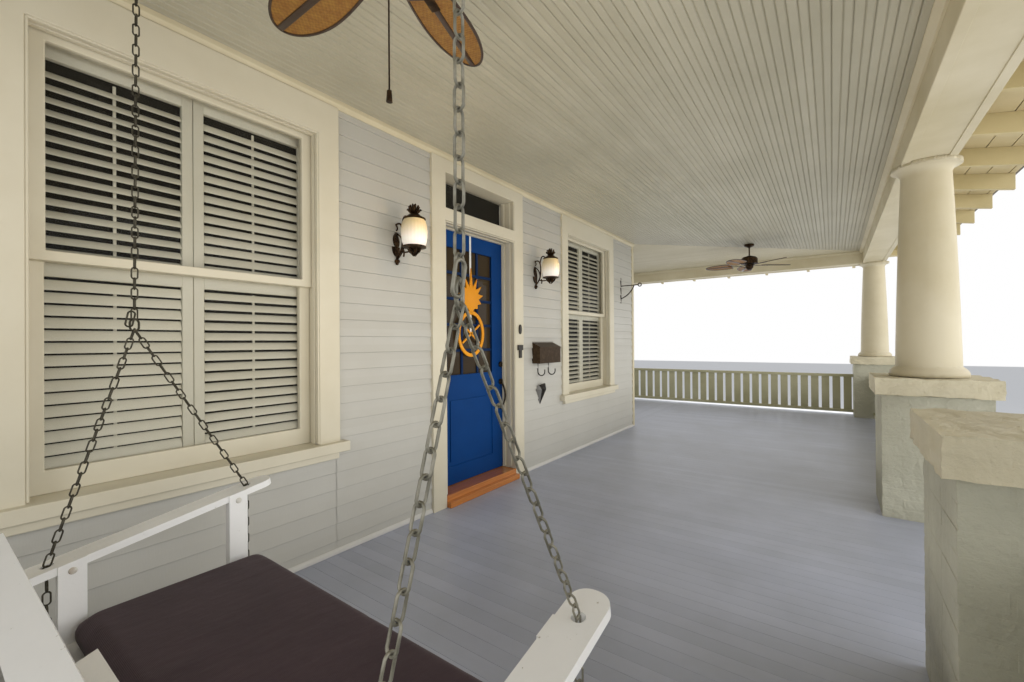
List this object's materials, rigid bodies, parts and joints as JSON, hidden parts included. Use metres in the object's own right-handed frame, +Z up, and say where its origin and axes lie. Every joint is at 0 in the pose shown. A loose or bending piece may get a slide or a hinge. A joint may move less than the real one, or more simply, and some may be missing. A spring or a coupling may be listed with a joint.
{
  "type": "front porch",
  "caption": "Roofed timber porch on brick piers that wraps one house corner, with railings, an inward-opening panelled door, windows, ceiling fans and a hanging swing bench",
  "frame": {"origin": "on the ground under the middle of the front door, in the plane of the siding, on the underside of the house foundation", "axes": "+X along the porch towards its corner, +Y into the house with the street at -Y, +Z up"},
  "size_m": [11.323, 6.463, 4.3837],
  "materials": {
    "brick": "brickwork under thick, chipped cream paint",
    "cap_stone": "cast stone under chipped cream paint",
    "cream_paint": "timber with worn cream oil paint",
    "siding_paint": "lapped boards with cream paint",
    "ceiling_paint": "beaded boards with grey-green paint",
    "floor_paint": "narrow boards with satin lavender-grey floor paint",
    "step_stone": "cast concrete",
    "roof_shingle": "mineral-faced shingle",
    "pane": "clear float glass",
    "sill_wood": "orange-brown varnished timber",
    "door_blue": "deep blue satin paint",
    "door_metal": "dark oiled bronze finish",
    "strap_white": "white enamelled strap",
    "plaque_paint": "sawn board with orange-yellow paint",
    "dark_bronze": "aged dark bronze",
    "frosted_glass": "seeded frosted glass, lit from inside",
    "box_metal": "sheet metal, dark hammered paint",
    "bell_plastic": "dark plastic, weathered",
    "fan_metal": "dark bronze finish",
    "fan_wood": "golden-brown woven cane in a dark rim",
    "swing_paint": "timber with white paint",
    "chain_steel": "galvanised steel, dull and weathered",
    "cushion_fabric": "dark aubergine-brown woven fabric"
  },
  "bodies": {
    "porch": {"house_foundation": "brick", "brick_piers": "brick", "pier_caps": "cap_stone", "columns": "cream_paint", "porch_skirt": "brick", "porch_floor_front": "floor_paint", "porch_floor_side": "floor_paint", "entry_steps": "step_stone", "rafters": "cream_paint", "hip_rafter": "cream_paint", "beam_front": "cream_paint", "beam_far_side": "cream_paint", "end_beams": "cream_paint", "ceiling_front": "ceiling_paint", "ceiling_side": "ceiling_paint", "ceiling_trim": "cream_paint", "wall_strip": "cream_paint", "base_shoe": "cream_paint", "roof_deck_front": "cream_paint", "roof_deck_side": "cream_paint", "roofing_front": "roof_shingle", "roofing_side": "roof_shingle", "gable_ends": "siding_paint", "front_wall_near": "siding_paint", "front_wall_far": "siding_paint", "wall_over_door": "siding_paint", "side_wall": "siding_paint", "window_frames": "cream_paint", "window_sashes": "cream_paint", "window_glass": "pane", "window_shutters": "cream_paint", "door_frame": "cream_paint", "door_sill": "sill_wood", "door_hinges": "door_metal", "railing_front": "cream_paint", "railing_far_side": "cream_paint", "railing_ends": "cream_paint", "wall_lanterns": "dark_bronze", "lantern_glass": "frosted_glass", "mailbox": "box_metal", "paper_hooks": "box_metal", "wall_pocket": "dark_bronze", "doorbell": "bell_plastic", "plant_bracket": "box_metal", "fan_motors": "fan_metal", "fan_pull_chain": "fan_metal", "swing_hooks": "chain_steel"},
    "front_door": {"front_door": "door_blue", "door_glass": "pane", "door_handle": "door_metal", "door_hinge_leaves": "door_metal", "plaque_hanger": "strap_white", "door_plaque": "plaque_paint"},
    "mailbox_lid": {"mailbox_lid": "box_metal"},
    "near_fan": {"near_fan_blades": "fan_wood"},
    "far_fan": {"far_fan_blades": "fan_wood"},
    "porch_swing": {"swing_bench": "swing_paint", "swing_chains": "chain_steel", "swing_cushion": "cushion_fabric"}
  },
  "joints": [
    {"name": "door_hinge", "type": "hinge", "parent": "porch", "child": "front_door", "pos_m": [-0.4625, 0.1763, 1.7], "axis": [0, 0, 1], "range_deg": [0, 90]},
    {"name": "lid_hinge", "type": "hinge", "parent": "porch", "child": "mailbox_lid", "pos_m": [0.993, -0.004, 1.8863], "axis": [-1, 0, 0], "range_deg": [0, 80]},
    {"name": "near_fan_spin", "type": "hinge", "parent": "porch", "child": "near_fan", "pos_m": [-2.13, -1.44, 3.055], "axis": [0, 0, 1], "continuous": true},
    {"name": "far_fan_spin", "type": "hinge", "parent": "porch", "child": "far_fan", "pos_m": [4.725, -1.44, 3.055], "axis": [0, 0, 1], "continuous": true},
    {"name": "swing_pivot", "type": "hinge", "parent": "porch", "child": "porch_swing", "pos_m": [-2.47, -1.265, 3.319], "axis": [0, 1, 0], "range_deg": [-15, 15]}
  ]
}
